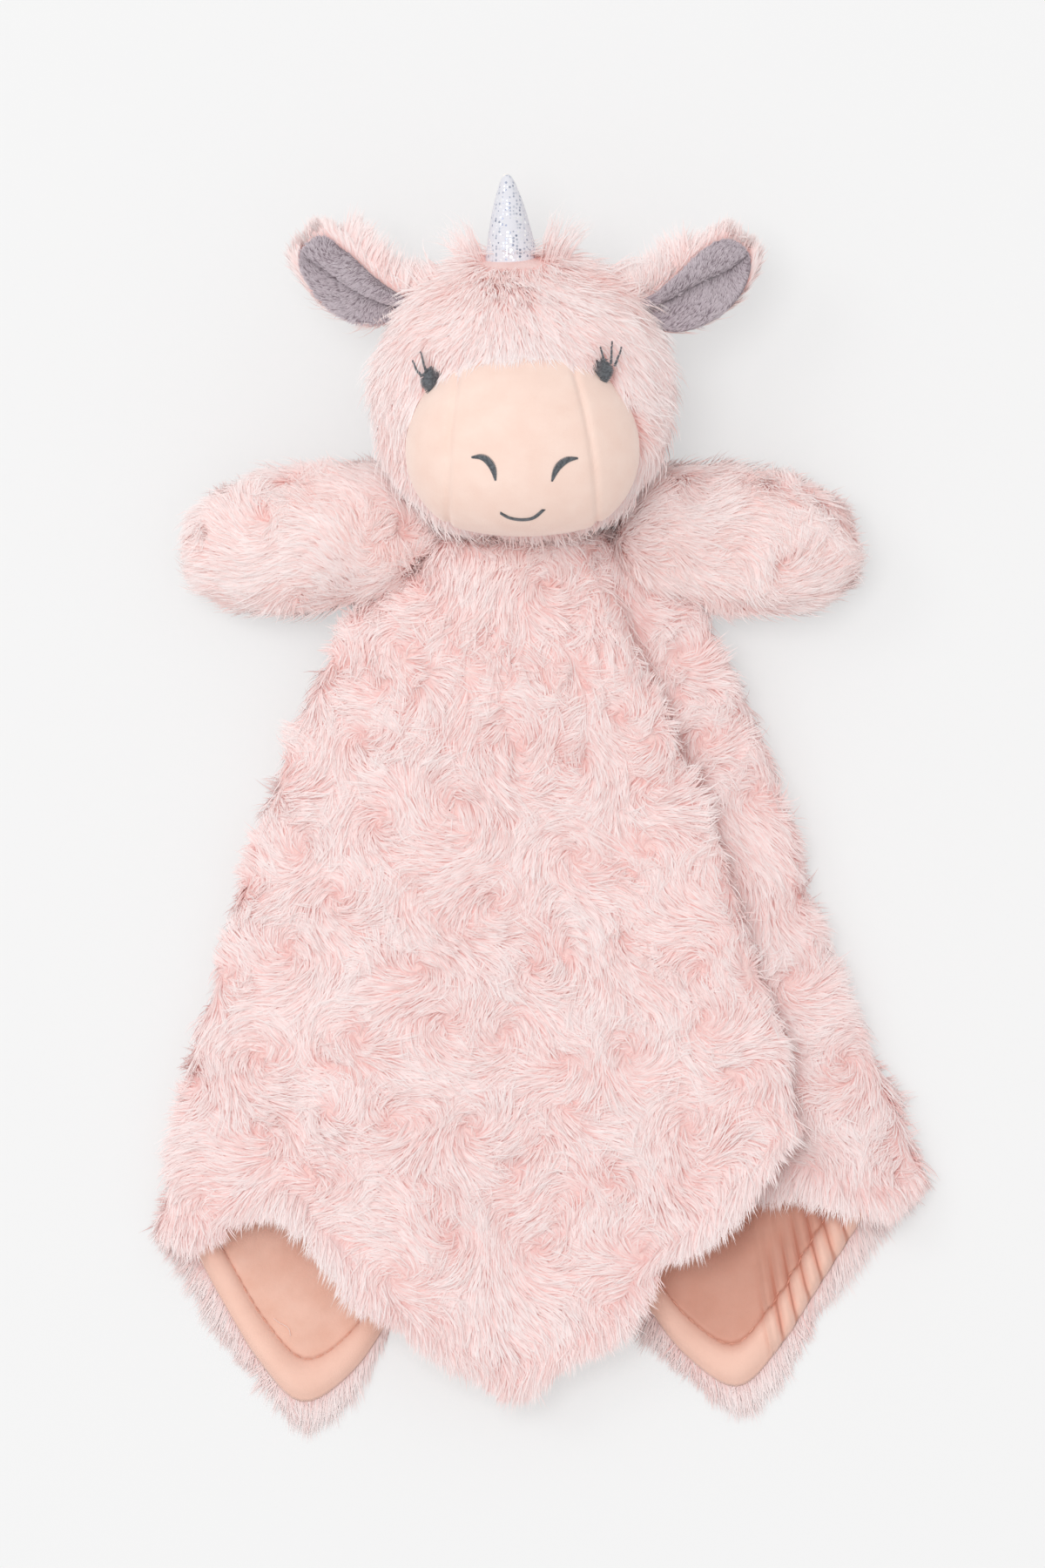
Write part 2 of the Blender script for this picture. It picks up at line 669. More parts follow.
SEAMS = [seam_curve(LEFT_SEAM_PX), seam_curve(RIGHT_SEAM_PX)]
slopes = [vert.normal.copy() for vert in muzzle_skin.vertices]
for vert, slope in zip(muzzle_skin.vertices, slopes):
    far = [vert.co.x - np.polyval(seam, vert.co.y) for seam in SEAMS]
    press, puff = (
        sum(math.exp(-((x / width) ** 2)) for x in far) for width in (SEAM_WIDTH, PUFF_WIDTH)
    )
    vert.co += slope * (PUFF_RISE * puff - SEAM_DEPTH * press)
muzzle = show("muzzle_velour", muzzle_skin, "head", PALE_VELOUR)
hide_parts("muzzle_centre_panel", "muzzle_left_panel", "muzzle_right_panel", "muzzle_filling")
MUZZLE_TREE = tree_of(muzzle_skin)
print("muzzle", len(muzzle_skin.polygons), "faces")

# %% [markdown]
# ## Fur on the head
#
# The forehead's hair falls from the horn towards the muzzle and parts to the cheeks. Hairs don't
# grow under the muzzle, and one that would pass into it is laid on top, so the fur overlaps the
# velour's edge a little, as it does on the toy.

# %% Head fur
HORN_FOOT = spot(588, 300, 41 * MM)
HORN_SEAT = spot(589, 301, 50 * MM)
HORN_CLEARING = (8.5 * MM, 1.8 * MM)
EYES_PX = ((500, 431), (688, 421))
EYE_LEVEL = 64 * MM
EYE_CLEARING = (3.6 * MM, 7.0 * MM)
MUZZLE_REACH = 42 * MM  # hairs with their tips farther from its middle can't touch the muzzle
MUZZLE_HALVES = np.array((33, 27.5, 28)) * MM  # half of its width, length and depth
HAIR_ON_MUZZLE = 0.35 * MM  # how high a hair lies on the velour


def outside_muzzle(places):
    """True for places that are outside the muzzle."""
    free = np.ones(len(places), dtype=bool)
    for number, place in enumerate(places):
        hit, slope, _, _ = MUZZLE_TREE.find_nearest(Vector(place))
        free[number] = (Vector(place) - hit).dot(slope) > -0.2 * MM
    return free


def lay_on_muzzle(path):
    """Lift the parts of hairs that would be inside the muzzle onto its face."""
    middle = np.array(MUZZLE_CENTRE)
    near = np.linalg.norm(path[:, -1] - middle, axis=1) < MUZZLE_REACH
    for number in np.nonzero(near)[0]:
        for step in range(1, HAIR_STEPS + 1):
            place = Vector(path[number, step])
            hit, slope, _, _ = MUZZLE_TREE.find_nearest(place)
            if (place - hit).dot(slope) < HAIR_ON_MUZZLE:
                path[number, step] = hit + slope * HAIR_ON_MUZZLE
    return path


def head_keep(roots, normals, rng):
    """Thin fur below, and none under the muzzle, the horn and the eyes."""
    kept = (normals[:, 2] > -0.5) | (rng.random(len(roots)) < 0.5)
    away = (roots - np.array(MUZZLE_CENTRE)) / MUZZLE_HALVES
    inside = np.linalg.norm(away, axis=1) < 1.3
    kept[inside] &= outside_muzzle(roots[inside])
    horn = (roots[:, :2] - np.array(HORN_SEAT)[:2]) / HORN_CLEARING
    kept &= (np.linalg.norm(horn, axis=1) > 1) | (normals[:, 2] < 0)
    for px, py in EYES_PX:
        eye = np.array(spot(px, py, EYE_LEVEL))[:2]
        kept &= np.linalg.norm((roots[:, :2] - eye) / EYE_CLEARING, axis=1) > 1
    return kept


def head_lead(roots, normals):
    """Away from the horn, down the face and out over the cheeks."""
    away = unit(roots - np.array(HORN_FOOT))
    down = np.array((0, -0.55, 0))
    cheeks = np.zeros_like(roots)
    cheeks[:, 0] = np.clip((roots[:, 0] - HEAD_CENTRE.x) / (30 * MM), -1, 1) * 0.45
    return (away * 0.8 + down + cheeks) * 1.7


fur(
    "head_fur", "head", head_skin, LONG_FUR, 76000, 10.5 * MM, 0.34, 34 * MM, head_lead, 17,
    keep=head_keep, tuft=0.45, shape=lay_on_muzzle,
)

# %% [markdown]
# ## Horn
#
# The horn is a cone of silver-white cloth printed with glitter dots, stuffed and sewn down. Its
# outline was measured across the photo's pixels, so a half outline is spun round its line. Each
# cell of a Voronoi pattern holds one dot, and the cell's random colour makes some dots flash and
# some look dark, as tiny mirrors do.

# %% Glitter-dot cloth
DOT_SPACING = 1.0 * MM  # the real dots are 0.8 mm apart, a little too fine for the render
DOT_RADIUS = 0.36  # as a share of the spacing

GLITTER, glitter_tree, glitter_shader = material(
    "Glitter-dot cloth", Specular_IOR_Level=0.4, Sheen_Weight=0.15
)
here = add_node(glitter_tree, "ShaderNodeTexCoord").outputs["Object"]
dots = add_node(
    glitter_tree, "ShaderNodeTexVoronoi", Vector=here, Scale=1 / DOT_SPACING, Randomness=0.55
).outputs
dot = combined(glitter_tree, "LESS_THAN", dots["Distance"], DOT_RADIUS)
chance = add_node(glitter_tree, "ShaderNodeSeparateColor", Color=dots["Color"]).outputs["Red"]
FLASHES = ((0.0, "#8F96AA"), (0.35, "#BFC4D2"), (0.6, "#E4E7F0"), (0.85, "#FFFFFF"))
flash = ramp(glitter_tree, chance, FLASHES)
feed(
    glitter_shader,
    Base_Color=mixed(glitter_tree, dot, linear("#E3E3EA"), flash),
    Roughness=ranged(glitter_tree, dot, 0.0, 1.0, 0.75, 0.3),
    Metallic=ranged(glitter_tree, dot, 0.0, 1.0, 0.0, 0.6),
    Normal=bump(glitter_tree, dot, 0.4, 0.1 * MM),
)

# %% Horn's form
# Across and up from the foot, in millimetres
HORN_OUTLINE = (
    (8.7, 0.0), (8.2, 8.0), (7.0, 14.6), (5.5, 20.7), (4.5, 24.5),
    (3.1, 29.5), (2.1, 32.2), (1.3, 33.6), (0.5, 34.1),
)
HORN_STEPS = 24
HORN_SLACK = 0.12 * MM  # the cloth's faint ripples, and how far apart they wind up the horn
SLACK_PITCH = 3.1 * MM
HORN_BASE = spot(589.5, 337, 40.6 * MM)
HORN_TIP = spot(582, 199, 45.4 * MM)

cone = bmesh.new()
rim = [cone.verts.new((across * MM, 0, up * MM)) for across, up in HORN_OUTLINE]
for low, high in zip(rim, rim[1:]):
    cone.edges.new((low, high))
bmesh.ops.spin(
    cone, geom=cone.verts[:] + cone.edges[:], axis=UP, angle=math.tau, steps=HORN_STEPS,
    use_merge=True,
)
bmesh.ops.holes_fill(cone, edges=[e for e in cone.edges if len(e.link_faces) < 2], sides=0)
bmesh.ops.recalc_face_normals(cone, faces=cone.faces)
horn_mesh = smooth_mesh(cone, "horn_cloth", 1)
horn_turn = facing(HORN_TIP - HORN_BASE, UP)
for vert in horn_mesh.vertices:
    slack = math.sin(vert.co.z / SLACK_PITCH + 2 * math.atan2(vert.co.y, vert.co.x))
    vert.co += Vector((vert.co.x, vert.co.y, 0)).normalized() * HORN_SLACK * slack
    vert.co = horn_turn @ vert.co + HORN_BASE
horn_mesh.shade_smooth()
horn = show("horn_cloth", horn_mesh, "head", GLITTER)
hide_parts("horn_cover")
print("horn", round((HORN_TIP - HORN_BASE).length * 1000, 1), "mm")

# %% [markdown]
# ## Embroidery
#
# The nostrils, the smile and the eyes are satin stitch: short threads laid side by side across a
# line, as long as the line is wide there. Each thread is made, a small rounded strip on the
# cloth, because its own highlights are what makes the stitching look sewn.

# %% Thread and satin stitch
THREAD = cloth_material(
    "Charcoal embroidery thread", (1500.0, 2.0), ((0.35, "#44474C"), (0.6, "#6A6E73")),
    (1500.0, 2.0), (0.3, 0.1 * MM), Roughness=0.5, Specular_IOR_Level=0.5, Sheen_Weight=0.3,
)
STITCH_PITCH = 0.36 * MM
STITCH_THICKNESS = 0.44 * MM
OVERHEAD = 0.2  # a height over the whole toy, from which to look down
FACE_LEVEL = 60 * MM  # where the search for a skin's height starts


def on_skin(tree, px, py):
    """The place and slope where the camera sees a skin at a pixel."""
    level = FACE_LEVEL
    for _ in range(4):
        above = spot(px, py, level)
        hit, slope, _, _ = tree.ray_cast(Vector((above.x, above.y, OVERHEAD)), -UP)
        level = hit.z
    return hit, slope


def even_line(points, gap):
    """Pixels a gap apart, on a smooth line that follows the points."""
    rows = np.array(points, dtype=float)
    for _ in range(3):  # each round cuts the corners off
        near, far = rows[:-1] * 0.75 + rows[1:] * 0.25, rows[:-1] * 0.25 + rows[1:] * 0.75
        cut = np.stack([near, far], axis=1).reshape(-1, 2)
        rows = np.vstack([rows[:1], cut, rows[-1:]])
    run = np.concatenate([[0], np.cumsum(np.linalg.norm(np.diff(rows, axis=0), axis=1))])
    shares = np.linspace(0, 1, max(2, round(run[-1] * PIXEL / gap) + 1))
    return [[np.interp(share * run[-1], run, rows[:, i]) for i in (0, 1)] for share in shares]


def traced(tree, line):
    """Places and slopes along a line of pixels on a skin, a stitch apart."""
    return [on_skin(tree, px, py) for px, py in even_line(line, STITCH_PITCH)]


def oval(bed, place, axes, size, sides=6, rings=5, lie=Matrix.Identity(4)):
    """Add a rounded form, with its own axes and its size along each of them."""
    seat = Matrix.Translation(place) @ Matrix(axes).transposed().to_4x4()
    seat = seat @ Matrix.Diagonal((*size, 1)) @ lie
    bmesh.ops.create_uvsphere(bed, u_segments=sides, v_segments=rings, radius=0.5, matrix=seat)


def satin(bed, laid, width_at, slant=0.25, proud=0.0):
    """Lay satin stitches across a line of places and slopes."""
    lie = Matrix.Rotation(math.pi / 2, 4, "Y")
    for number, (place, slope) in enumerate(laid):
        ahead, behind = laid[min(number + 1, len(laid) - 1)][0], laid[max(number - 1, 0)][0]
        way = (ahead - behind).normalized()
        across = (way.cross(slope) + way * slant).normalized()
        across = (across - slope * across.dot(slope)).normalized()
        size = (width_at(number / (len(laid) - 1)), STITCH_THICKNESS, STITCH_THICKNESS * 0.8)
        seat = place + slope * (proud + STITCH_THICKNESS * 0.2)
        oval(bed, seat, (across, slope.cross(across), slope), size, 6, 6, lie)


def sew(name, bed, *replaced):
    """A finished piece of embroidery on the head."""
    made = show(name, mesh_of(bed, name), "head", THREAD)
    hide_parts(*replaced)
    print(name, len(made.data.polygons), "faces")


def swelling(least, swell):
    """A stitch's length, in millimetres, which swells in the middle of the line."""
    return lambda share: (least + swell * math.sin(math.pi * share)) * MM


# %% Nostrils and smile
NOSTRILS_PX = {
    "left": ((542, 525), (554, 524), (562, 530), (567, 538), (569, 551)),
    "right": ((663, 526), (651, 527), (643, 533), (638, 540), (634, 552)),
}
SMILE_PX = ((575, 589), (585, 595), (600, 597), (613, 595), (624, 585))
for side, line in NOSTRILS_PX.items():
    bed = bmesh.new()
    satin(bed, traced(MUZZLE_TREE, line), swelling(0.7, 1.8))
    sew(f"nostril_{side}_stitches", bed, f"nostril_{side}")
bed = bmesh.new()
satin(bed, traced(MUZZLE_TREE, SMILE_PX), swelling(1.3, 0.5), 0.6)
sew("smile_stitches", bed, "smile")

# %% [markdown]
# ## Eyes
#
# Each eye is an upright oval of stitching with a few lashes above it. It lies on the fur, which
# is shaved there, so a low dome under it fills the pile's depth.

# %% Eyes and lashes
EYE_SIZES = (5.2 * MM, 8.6 * MM, 9.0 * MM)
LASH_LEVEL = 4.4 * MM  # the pile's depth at the lashes
LEFT_LASHES = (((494, 433), (489, 427), (486, 418)), ((499, 430), (497, 420), (494, 409)))
RIGHT_LASHES = (
    ((692, 421), (693, 411), (693, 398)),
    ((696, 423), (700, 414), (703, 404)),
    ((686, 421), (683, 411), (681, 404)),
)
# Each eye's middle, its tilt in degrees and its lashes
EYES = {"left": ((500, 438), 12, LEFT_LASHES), "right": ((688, 429), -8, RIGHT_LASHES)}
HEAD_TREE = tree_of(head_skin)


def eye_width(share):
    """The oval's width, a share of the way down it."""
    return EYE_SIZES[0] * (0.2 + 0.75 * math.sin(math.pi * share) ** 0.7)


for side, (middle, tilt, lashes) in EYES.items():
    place, slope = on_skin(HEAD_TREE, *middle)
    upright = (ALONG - slope * slope.y).normalized()
    upright = Matrix.Rotation(math.radians(tilt), 3, slope) @ upright
    dome = bmesh.new()
    oval(dome, place, (upright.cross(slope), upright, slope), EYE_SIZES, 16, 10)
    dome_tree = BVHTree.FromBMesh(dome)
    laid = []
    for way in np.linspace(1, -1, round(EYE_SIZES[1] / STITCH_PITCH)):
        over = place + upright * EYE_SIZES[1] * 0.47 * way
        over += slope * EYE_SIZES[2] * 0.5 * math.sqrt(1.05 - way**2)
        laid.append(dome_tree.find_nearest(over)[:2])
    satin(dome, laid, eye_width, 0.3)
    sew(f"eye_{side}_stitches", dome, f"eye_{side}")
    bed = bmesh.new()
    for lash in lashes:
        thread = traced(HEAD_TREE, lash)
        satin(bed, thread, lambda share: (1.1 - 0.4 * share) * MM, 0.5, LASH_LEVEL)
    sew(f"lashes_{side}_stitches", bed, f"lashes_{side}")

# %% [markdown]
# ## Tufts behind the horn
#
# Long loose hairs stand up on both sides of the horn, where the head's panels meet, and others
# fill the corners between the head and the ears. They are grown like the rest of the fur, only
# longer and raised.

# %% Tufts behind the horn
TUFTS_PX = ((546, 302), (634, 302))
TUFT_RADIUS = 3.6 * MM
EAR_CORNERS_PX = ((480, 310), (727, 310))
CORNER_LEVEL = 43 * MM
CORNER_RADIUS = 6.5 * MM
SIDEWAYS = 40  # a root 25 mm beside the horn sends its hair out as much as up

tufts = [on_skin(HEAD_TREE, px, py)[0] for px, py in TUFTS_PX]
corners = [HEAD_TREE.find_nearest(spot(px, py, CORNER_LEVEL))[0] for px, py in EAR_CORNERS_PX]


def beside(places, radius):
    """Keep the roots that are near one of the places."""
    return lambda roots, normals, rng: (
        np.min([np.linalg.norm(roots - place, axis=1) for place in places], axis=0) < radius
    )


def up_and_out(roots, normals):
    """Up past the horn, and outwards on each side."""
    lead = np.zeros_like(roots)
    lead[:, 0] = (roots[:, 0] - HORN_FOOT.x) * SIDEWAYS
    lead[:, 1] = 1
    return lead


fur(
    "horn_tufts", "head", head_skin, LONG_FUR, 40000, 17 * MM, 1.15, 0, up_and_out, 12,
    keep=beside(np.array(tufts), TUFT_RADIUS), tuft=0.4, width=0.26 * MM,
)
fur(
    "ear_corner_tufts", "head", head_skin, LONG_FUR, 90000, 15 * MM, 0.55, 0, up_and_out, 13,
    keep=beside(np.array(corners), CORNER_RADIUS), tuft=0.45,
)

# %% [markdown]
# ## Ears
#
# Each ear is a leaf of grey short-nap cloth sewn to a leaf of fur. It is folded along its middle,
# so its upper half rolls over the lower. The lower edge, the fold and the upper edge were read
# from the photo. A grid is laid between the three lines and raised over the fold.

# %% Ear leaves
LEFT_EAR_PX = (
    ((345, 292), (344, 304), (352, 321), (365, 341), (380, 356),
     (398, 367), (420, 372), (440, 370), (462, 362)),
    ((347, 289), (360, 297), (376, 305), (396, 317), (418, 330), (438, 341), (464, 352)),
    ((349, 284), (358, 274), (370, 271), (381, 275), (390, 284),
     (403, 292), (420, 309), (440, 326), (466, 342)),
)
RIGHT_EAR_PX = (
    ((862, 296), (862, 308), (855, 332), (841, 352), (820, 368),
     (794, 380), (770, 382), (750, 374), (730, 364)),
    ((859, 291), (846, 298), (830, 305), (812, 311),
     (794, 318), (770, 334), (748, 347), (728, 354)),
    ((856, 286), (846, 277), (829, 274), (817, 280), (803, 290),
     (785, 308), (765, 326), (748, 340), (726, 346)),
)
EAR_LEVEL = 39 * MM
EAR_GRID = (40, 24)
# Across the grid, the place between the lower edge (-1), the fold (0) and the upper edge (1), and
# the height in millimetres. The lining's upper half hangs over its lower half at the fold.
FOLDED_SECTION = (
    (-1.0, -1.0, 1.6), (-0.75, -0.68, 0.4), (-0.4, -0.25, -1.0), (-0.14, 0.04, -2.2),
    (-0.06, 0.05, -1.4), (0.04, -0.2, 0.9), (0.12, -0.17, 2.2), (0.3, 0.1, 3.4),
    (0.6, 0.55, 3.6), (1.0, 1.0, 1.4),
)
SMOOTH_SECTION = (
    (-1.0, -1.0, 1.6), (-0.5, -0.5, -1.4), (0.0, 0.0, -1.6), (0.4, 0.4, 2.0), (1.0, 1.0, 1.4)
)
TIP_DROOP = 3  # millimetres from the root down to the tip
NAP_THICKNESS = 0.6 * MM
BACK_THICKNESS = 2.0 * MM
BACK_DROP = 1.6 * MM  # how far the back lies under the lining
BACK_GROWTH = 0.2  # how much farther its upper half reaches, to show as a rim of fur
RIM_START = 5  # the upper edge's points from here to the root have long hair
RIM_REACH = 3.2 * MM
GREY_NAP = pile_material("Grey brushed nap", "#A3989D", "#C6BBC1", "#DBD2D7", "#DED7DB", 0.85)


def ear_leaf(lines, section, grow):
    """A leaf between an ear's three lines, with its upper half grown and its lower half tucked."""
    tables = []
    for points in lines:
        rows = np.array(even_line(points, 0.5 * MM))
        tables.append((np.linspace(0, 1, len(rows)), rows))
    section = np.array(section)
    leaf = bmesh.new()
    bmesh.ops.create_grid(leaf, x_segments=EAR_GRID[0], y_segments=EAR_GRID[1], size=0.5)
    for vert in leaf.verts:
        way, side = vert.co.x + 0.5, vert.co.y * 2
        low, fold, high = (
            np.array([np.interp(way, shares, rows[:, i]) for i in (0, 1)])
            for shares, rows in tables
        )
        over, rise = (np.interp(side, section[:, 0], section[:, i]) for i in (1, 2))
        if over > 0:
            place = fold + (high - fold) * over * (1 + grow)
        else:
            place = fold + (low - fold) * -over * (1 - grow / 2)
        rise *= min(1, way / 0.18) ** 0.5
        vert.co = spot(*place, EAR_LEVEL + (rise - TIP_DROOP * (1 - way)) * MM)
    axes = {f"use_axis_{axis}": True for axis in "xyz"}
    bmesh.ops.smooth_vert(leaf, verts=leaf.verts, factor=0.4, **axes)
    return leaf


def all_along(line):
    """A comb with one direction everywhere."""
    return lambda roots, normals: np.tile(line, (len(roots), 1))


def walled(leaf, name, drop, thickness):
    """Close a leaf into a sheet with a thickness, its face on top."""
    bmesh.ops.recalc_face_normals(leaf, faces=leaf.faces)
    if sum(f.normal.z for f in leaf.faces) < 0:
        bmesh.ops.reverse_faces(leaf, faces=leaf.faces)
    bmesh.ops.translate(leaf, verts=leaf.verts, vec=(0, 0, -drop))
    bmesh.ops.solidify(leaf, geom=leaf.faces[:], thickness=thickness)
    bmesh.ops.recalc_face_normals(leaf, faces=leaf.faces)
    mesh = settled(leaf, name)
    mesh.shade_smooth()
    return mesh


for side, lines in (("left", LEFT_EAR_PX), ("right", RIGHT_EAR_PX)):
    body = f"ear_{side}"
    folded = ear_leaf(lines, FOLDED_SECTION, 0.0)
    smooth = ear_leaf(lines, SMOOTH_SECTION, BACK_GROWTH)
    lining_mesh = walled(folded, f"{body}_nap_cloth", 0, NAP_THICKNESS)
    back_mesh = walled(smooth, f"{body}_backing", BACK_DROP, BACK_THICKNESS)
    nap_cloth = show(f"{body}_nap_cloth", lining_mesh, body, GREY_NAP)
    back = show(f"{body}_backing", back_mesh, body, BACKING)
    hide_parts(f"ear_{side}_lining")
    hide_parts(f"ear_{side}_back")
    lining_tree = tree_of(lining_mesh)
    root = np.array(lines[1][-1]) - np.array(lines[1][0])
    tipward = unit(np.array((-root[0], root[1], 0.0)))
    middle = np.mean([v.co for v in back_mesh.vertices], axis=0)
    rim = np.array([spot(px, py, EAR_LEVEL) for px, py in even_line(lines[2][RIM_START:], MM)])

    def bare(roots, normals, rng, tree=lining_tree):
        """True on the back's under face and on its upper rim, which the lining doesn't cover."""
        under = (normals[:, 2] < 0.1) & (rng.random(len(roots)) < 0.7)
        starts = [Vector(r + n * 0.1 * MM) for r, n in zip(roots, normals)]
        free = np.array([tree.ray_cast(s, UP, 6 * MM)[0] is None for s in starts])
        return under | (free & (normals[:, 2] > 0.1))

    def face_up(roots, normals, rng):
        """True on the lining's face."""
        return normals[:, 2] > 0.05

    def outward(roots, normals, line=tipward, middle=middle):
        """Up, to the tip and away from the leaf's middle."""
        return unit(roots - middle) * 0.2 + line * 0.3 + np.array((0, 1.0, 0))

    def by_rim(roots, normals, rng, rim=rim, bare=bare):
        """True near the upper edge, where the lining doesn't cover the back."""
        far = np.min([np.linalg.norm(roots[:, :2] - place[:2], axis=1) for place in rim], axis=0)
        return (far < RIM_REACH) & (normals[:, 2] > -0.1) & bare(roots, normals, rng)

    fur(
        f"{body}_fur", body, back_mesh, LONG_FUR, 15000, 6.5 * MM, 0.25, 0, outward, 41,
        keep=bare, tuft=0.35,
    )
    fur(
        f"{body}_rim_fur", body, back_mesh, LONG_FUR, 26000, 12.5 * MM, 0.25, 0,
        all_along(np.array((0, 1.0, 0)) - tipward * 0.35), 42, keep=by_rim, tuft=0.45,
    )
    fur(
        f"{body}_nap", body, lining_mesh, GREY_NAP, 15000, 1.7 * MM, 0.35, 30 * MM,
        all_along(tipward + np.array((0, -0.3, 0))), 43,
        keep=face_up, tuft=0.3, width=0.22 * MM,
    )

# %% [markdown]
# ## Arms
#
# Each arm is a stuffed mitten of fur, widest at the hand and sewn into the neck seam. Its hair is
# combed to the hand.

# %% Arms
ARM_SIZE = Vector((41 * MM, 35 * MM, 71 * MM))
ARM_RINGS = (1.32, 1.03, 1.06, 1.18)
ARM_DROOP = math.radians(8)
ARM_ROOT = Vector((25.2 * MM, 14 * MM, -2 * MM))


def arm_keep(roots, normals, rng):
    """Thin fur underneath."""
    return (normals[:, 2] > -0.5) | (rng.random(len(roots)) < 0.4)


for side, sign, seed in (("left", -1, 21), ("right", 1, 22)):
    line = Vector((sign * math.cos(ARM_DROOP), -math.sin(ARM_DROOP), 0))
    root = NECK + Vector((sign * ARM_ROOT.x, ARM_ROOT.y, ARM_ROOT.z))
    centre = root + line * ARM_SIZE.z / 2
    body = f"arm_{side}"
    skin = stuffed(f"{body}_backing", centre, ARM_SIZE - INSET, facing(line, UP), ARM_RINGS, 6, 4)
    arm = show(f"{body}_backing", skin, body, BACKING)
    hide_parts(f"arm_{side}_sleeve")
    fur(
        f"{body}_fur", body, skin, LONG_FUR, 34000, 10 * MM, 0.36, 22 * MM,
        all_along(np.array(line) * 0.9), seed, keep=arm_keep, tuft=0.45,
    )

# %% [markdown]
# ## Blanket cloth
#
# The blanket is a 355 mm square gathered at its centre. Laid down, its hem makes a ring: over the
# front from one side fold to the other, and back underneath. The ring's stations give the hem's
# place and level, with the deep pleat on the right and two more hidden inside, which take up the
# cloth that a flat lay can't show. A grid is bent between the neck's ring and the hem's.

# %% Hem stations and rows
# Each is across and down in the photo's pixels, the level in millimetres, the share of the way
# round the neck, and which side's spread it follows: 0 left, 1 the pleat's ridge, 2 right
FRONT_HEM = (
    (192, 1392, 6, 0.00, 0.0),
    (214, 1412, 11, 0.03, 0.0),
    (245, 1402, 14, 0.06, 0.0),
    (290, 1378, 15, 0.10, 0.0),
    (330, 1368, 15.5, 0.14, 0.0),
    (352, 1385, 17, 0.18, 0.1),
    (392, 1438, 20, 0.24, 0.2),
    (425, 1480, 21, 0.29, 0.3),
    (470, 1512, 21, 0.34, 0.4),
    (530, 1552, 19, 0.41, 0.5),
    (590, 1580, 17, 0.49, 0.6),
    (645, 1550, 19, 0.55, 0.7),
    (700, 1513, 21, 0.61, 0.8),
    (745, 1455, 21, 0.66, 0.9),
    (800, 1405, 21.5, 0.70, 1.0),
    (850, 1363, 22, 0.74, 1.0),
    (885, 1320, 23, 0.77, 1.0),
    (904, 1286, 23.0, 0.79, 1.0),
    (908, 1278, 20.5, 0.80, 1.0),
    (896, 1284, 18, 0.81, 1.0),
    (850, 1315, 15.5, 0.82, 1.1),
    (822, 1330, 13, 0.835, 1.2),
    (840, 1338, 10.8, 0.85, 1.3),
    (890, 1345, 10.8, 0.87, 1.5),
    (930, 1345, 12, 0.90, 1.7),
    (975, 1362, 13.5, 0.935, 1.9),
    (1012, 1372, 12, 0.965, 2.0),
    (1040, 1352, 9, 0.985, 2.0),
)
BACK_HEM = (
    (1052, 1336, 5.5, 1.00, 2.0),
    (1040, 1354, 2.4, 1.02, 2.0),
    (1000, 1385, 1.3, 1.05, 2.0),
    (962, 1440, 1.2, 1.09, 1.9),
    (925, 1498, 1.2, 1.13, 1.8),
    (898, 1540, 1.2, 1.16, 1.7),
    (848, 1590, 1.2, 1.20, 1.6),
    (790, 1556, 1.2, 1.24, 1.5),
    (745, 1500, 1.2, 1.28, 1.4),
    (690, 1425, 1.2, 1.32, 1.3),
    (630, 1405, 1.2, 1.36, 1.2),
    (608, 1402, 3.0, 1.38, 1.2),
    (630, 1402, 4.8, 1.40, 1.2),
    (735, 1402, 5.2, 1.43, 1.2),
    (760, 1402, 7.0, 1.45, 1.2),
    (735, 1402, 9.0, 1.47, 1.1),
    (640, 1402, 9.4, 1.49, 1.0),
    (560, 1402, 9.4, 1.51, 0.9),
    (462, 1402, 9.0, 1.53, 0.8),
    (438, 1402, 7.0, 1.55, 0.7),
    (462, 1402, 5.2, 1.57, 0.7),
    (565, 1402, 4.8, 1.60, 0.7),
    (590, 1402, 3.0, 1.62, 0.7),
    (565, 1405, 1.2, 1.64, 0.6),
    (510, 1425, 1.2, 1.69, 0.5),
    (455, 1500, 1.2, 1.73, 0.4),
    (405, 1572, 1.2, 1.78, 0.3),
    (348, 1608, 1.2, 1.82, 0.2),
    (300, 1563, 1.2, 1.87, 0.1),
    (258, 1495, 1.4, 1.92, 0.0),
    (224, 1434, 1.8, 1.96, 0.0),
    (201, 1408, 3.0, 1.98, 0.0),
)
# Share of the way down, and share of the spread at the left side, the ridge and the right side
SPREADS = (
    (0.00, 0.000, 0.000, 0.000),
    (0.03, 0.090, 0.040, 0.090),
    (0.07, 0.300, 0.160, 0.290),
    (0.13, 0.380, 0.215, 0.340),
    (0.20, 0.460, 0.270, 0.415),
    (0.30, 0.550, 0.410, 0.500),
    (0.43, 0.665, 0.540, 0.590),
    (0.58, 0.765, 0.695, 0.655),
    (0.74, 0.880, 0.815, 0.780),
    (0.87, 0.950, 0.940, 0.900),
    (1.00, 1.000, 1.000, 1.000),
)
NECK_HALF_WIDTH = 23 * MM
NECK_HALF_DEPTH = 17.5 * MM
SHOULDER_RISE = 12 * MM
NECK_CAP = Vector((0, 9 * MM, 3 * MM))  # where the gathering thread closes the cloth
NECK_CAP_RADIUS = 8.2 * MM
CAP_SHARE = 0.12  # rows that close the top, in shares of the rows below
# Where round the neck a crest or a valley runs down the front, its width there, and its height
CRESTS = ((0.765, 0.05, 3.2), (0.845, 0.032, -4.2), (0.065, 0.03, -1.8), (0.2, 0.06, 1.4))
CREST_START = 0.12  # share of the way down where they have their full height
COLUMNS = 320
ROWS = 84
EDGE_ROWS = 20  # close rows, for the lining's stitched edge
EDGE_SHARE = 0.09
GATHERS = 26  # small pleats in half a turn round the neck
GATHER_RISE = 0.8 * MM


